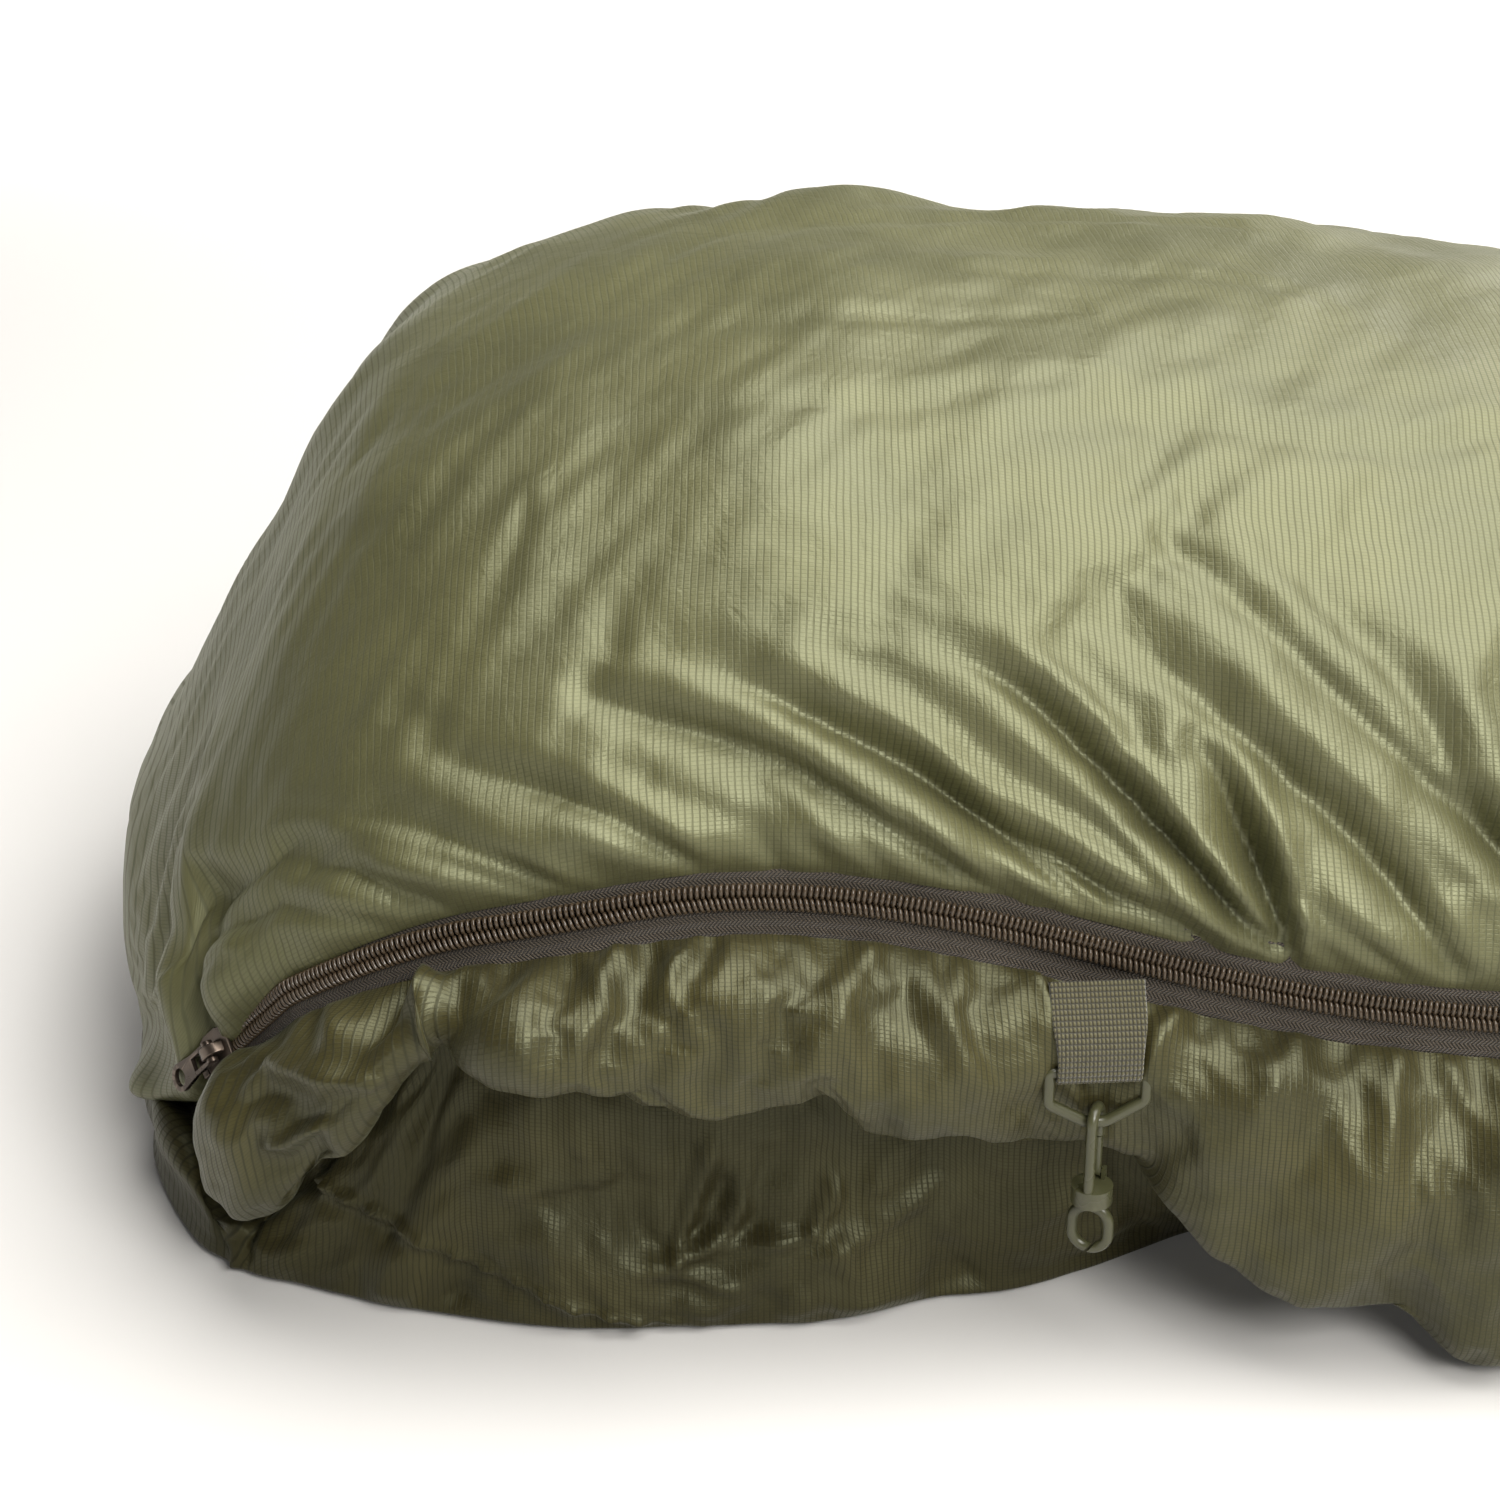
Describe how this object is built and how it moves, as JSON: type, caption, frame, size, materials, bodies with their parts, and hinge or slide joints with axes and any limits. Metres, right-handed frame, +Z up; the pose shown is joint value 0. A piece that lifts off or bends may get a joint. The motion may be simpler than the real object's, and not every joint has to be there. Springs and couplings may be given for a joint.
{
  "type": "bivy sack",
  "caption": "Long filled bivy sack with a rounded foot, open mouth, side zip with end sliders, and a webbing tab carrying a ring and swivel snap hook.",
  "frame": {"origin": "on the floor, under the middle of the sack's bounding box", "axes": "+X from the foot end to the head end, -Y the zip side, +Z up"},
  "size_m": [2.0996, 0.7399, 0.266],
  "materials": {
    "top_cloth": "satin",
    "side_cloth": "satin",
    "base_cloth": "satin",
    "fill": "matte",
    "lining": "satin",
    "binding": "matte",
    "zip_tape": "matte",
    "zip_coil": "gloss",
    "webbing": "matte",
    "thread": "matte",
    "slider_metal": "satin",
    "ring_plastic": "satin"
  },
  "bodies": {
    "sack": {"upper_shell": "top_cloth", "zip_side_panel": "side_cloth", "far_side_panel": "side_cloth", "base_panel": "base_cloth", "upper_fill": "fill", "lower_fill": "fill", "upper_lining": "lining", "lower_lining": "lining", "draft_tube": "lining", "mouth_binding_upper": "binding", "mouth_binding_lower": "binding", "zip_tape_upper": "zip_tape", "zip_tape_lower": "zip_tape", "zip_coil_upper": "zip_coil", "zip_coil_lower": "zip_coil", "zip_stop_foot": "slider_metal", "zip_stop_head": "slider_metal", "webbing_tab": "webbing", "tab_bar_tacks": "thread"},
    "foot_slider": {"slider_foot": "slider_metal", "slider_cap_foot": "slider_metal"},
    "foot_pull": {"slider_pull_foot": "slider_metal"},
    "head_slider": {"slider_head": "slider_metal", "slider_cap_head": "slider_metal"},
    "head_pull": {"slider_pull_head": "slider_metal"},
    "ring": {"d_ring": "ring_plastic"},
    "hook": {"hook_body": "ring_plastic"},
    "gate": {"hook_gate": "ring_plastic"},
    "swivel": {"hook_swivel": "ring_plastic"}
  },
  "joints": [
    {"name": "foot_slider_slide", "type": "slide", "parent": "sack", "child": "foot_slider", "axis": [0.5464, -0.4357, 0.7152], "range_m": [0, 0.028]},
    {"name": "foot_pull_hinge", "type": "hinge", "parent": "foot_slider", "child": "foot_pull", "pos_m": [-1.01499, -0.15555, 0.0703], "axis": [-0.3369, 0.6675, 0.664], "range_deg": [0, 165]},
    {"name": "head_slider_slide", "type": "slide", "parent": "sack", "child": "head_slider", "axis": [-0.9998, -0.0033, 0.0196], "range_m": [0, 0.3]},
    {"name": "head_pull_hinge", "type": "hinge", "parent": "head_slider", "child": "head_pull", "pos_m": [0.99509, -0.36006, 0.07444], "axis": [-0.0144, -0.5553, -0.8315], "range_deg": [0, 165]},
    {"name": "ring_hinge", "type": "hinge", "parent": "sack", "child": "ring", "pos_m": [-0.778, -0.21806, 0.092], "axis": [1, 0, 0], "range_deg": [-110, 0]},
    {"name": "hook_swing", "type": "hinge", "parent": "ring", "child": "hook", "pos_m": [-0.778, -0.21806, 0.0765], "axis": [1, 0, 0], "range_deg": [-80, 0]},
    {"name": "gate_hinge", "type": "hinge", "parent": "hook", "child": "gate", "pos_m": [-0.77631, -0.21443, 0.0591], "axis": [0.9063, -0.4226, 0], "range_deg": [0, 20], "stiffness_Nm_per_rad": 0.01},
    {"name": "swivel_turn", "type": "hinge", "parent": "hook", "child": "swivel", "pos_m": [-0.778, -0.21806, 0.0505], "axis": [0, 0, 1], "continuous": true}
  ]
}
